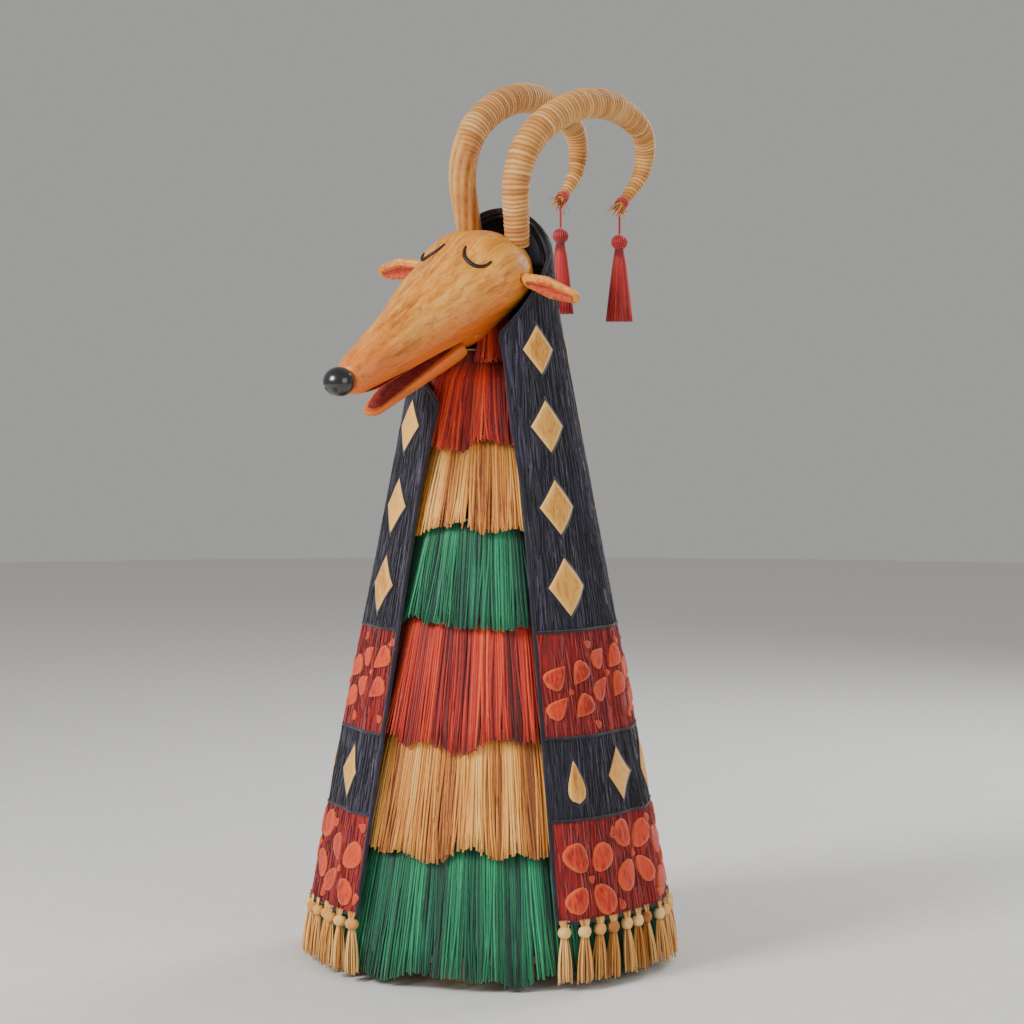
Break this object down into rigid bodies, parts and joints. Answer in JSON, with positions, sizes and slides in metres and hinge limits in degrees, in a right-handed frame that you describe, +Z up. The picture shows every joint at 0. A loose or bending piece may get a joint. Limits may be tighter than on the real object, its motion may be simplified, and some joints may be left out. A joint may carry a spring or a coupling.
{
  "type": "straw goat figure",
  "caption": "Standing straw goat for carolling: turning carved head with snapping jaw, curled wound-straw horns with tassels, and a fringed body under a patched wool cloak.",
  "frame": {"origin": "on the floor, at the middle of the foot and under the post", "axes": "+Z up the post; the body and the opening of the cloak face -Y; +X is the goat's left"},
  "size_m": [0.6224, 0.6445, 1.3953],
  "materials": {
    "ash_wood": "planed and oiled",
    "base_board": "sawn board, oiled",
    "steel": "plain",
    "washer_leather": "undyed, waxed",
    "straw_core": "tied straw",
    "twine": "hemp twine",
    "red_fringe": "dyed raffia strands",
    "straw_fringe": "natural straw strands",
    "green_fringe": "dyed raffia strands",
    "dark_wool": "brushed wool",
    "red_wool": "felted wool",
    "cream_patch": "felt applique",
    "leaf_patch": "felt applique",
    "cream_yarn": "knotted wool yarn",
    "carved_wood": "carved, stained and waxed",
    "ear_lining": "soft suede",
    "mouth_lining": "dyed leather",
    "nose_lacquer": "black lacquer",
    "eyelid_paint": "black leather strip",
    "horn_straw": "straw wound in close turns",
    "bent_wood": "steam-bent rod",
    "crimson_yarn": "silky yarn"
  },
  "bodies": {
    "figure": {"band_diamond_patches": "cream_patch", "base_board": "base_board", "board_screws": "steel", "cloak_dark_band": "dark_wool", "cloak_dark_panel": "dark_wool", "cloak_red_band_lower": "red_wool", "cloak_red_band_upper": "red_wool", "diamond_patches": "cream_patch", "foot_beam_lower": "ash_wood", "foot_beam_upper": "ash_wood", "green_fringe_lower": "green_fringe", "green_fringe_lower_cord": "twine", "green_fringe_upper": "green_fringe", "green_fringe_upper_cord": "twine", "hem_tassels": "cream_yarn", "leaf_patches_lower": "leaf_patch", "leaf_patches_upper": "leaf_patch", "neck_washer": "washer_leather", "post": "ash_wood", "red_fringe_lower": "red_fringe", "red_fringe_lower_cord": "twine", "red_fringe_upper": "red_fringe", "red_fringe_upper_cord": "twine", "straw_fringe_lower": "straw_fringe", "straw_fringe_lower_cord": "twine", "straw_fringe_upper": "straw_fringe", "straw_fringe_upper_cord": "twine", "straw_sheaf_lower": "straw_core", "straw_sheaf_middle": "straw_core", "straw_sheaf_upper": "straw_core"},
    "head": {"ear_left": "carved_wood", "ear_lining_left": "ear_lining", "ear_lining_right": "ear_lining", "ear_right": "carved_wood", "eyelids": "eyelid_paint", "head": "carved_wood", "hood": "dark_wool", "hood_bow": "bent_wood", "horn_rod_left": "bent_wood", "horn_rod_right": "bent_wood", "horn_straw_left": "horn_straw", "horn_straw_right": "horn_straw", "horn_tie_left": "crimson_yarn", "horn_tie_right": "crimson_yarn", "jaw_pin": "steel", "nose": "nose_lacquer", "palate_lining": "mouth_lining", "turn_stop_peg": "steel"},
    "jaw": {"jaw": "carved_wood", "jaw_lining": "mouth_lining"},
    "tassel_cord_left": {"tassel_cord_left": "crimson_yarn"},
    "tassel_left": {"tassel_knob_left": "crimson_yarn", "tassel_neck_left": "crimson_yarn", "tassel_skirt_left": "crimson_yarn"},
    "tassel_cord_right": {"tassel_cord_right": "crimson_yarn"},
    "tassel_right": {"tassel_knob_right": "crimson_yarn", "tassel_neck_right": "crimson_yarn", "tassel_skirt_right": "crimson_yarn"}
  },
  "joints": [
    {"name": "head_turn", "type": "hinge", "parent": "figure", "child": "head", "pos_m": [0, 0, 1.004], "axis": [0, 0, 1], "range_deg": [-21, 69]},
    {"name": "jaw_snap", "type": "hinge", "parent": "head", "child": "jaw", "pos_m": [-0.04548, -0.07583, 0.98777], "axis": [-0.9067, 0.4037, 0.1219], "range_deg": [0, 8.5]},
    {"name": "tassel_swing_left", "type": "hinge", "parent": "head", "child": "tassel_cord_left", "pos_m": [0.17201, 0.20245, 1.19425], "axis": [0.9135, -0.4067, 0], "range_deg": [-20, 20]},
    {"name": "tassel_tilt_left", "type": "hinge", "parent": "tassel_cord_left", "child": "tassel_left", "pos_m": [0.17201, 0.20245, 1.15225], "axis": [-0.4067, -0.9135, 0], "range_deg": [-20, 20]},
    {"name": "tassel_swing_right", "type": "hinge", "parent": "head", "child": "tassel_cord_right", "pos_m": [0.06451, 0.25031, 1.2087], "axis": [0.9135, -0.4067, 0], "range_deg": [-20, 20]},
    {"name": "tassel_tilt_right", "type": "hinge", "parent": "tassel_cord_right", "child": "tassel_right", "pos_m": [0.06451, 0.25031, 1.1667], "axis": [-0.4067, -0.9135, 0], "range_deg": [-20, 20]}
  ]
}
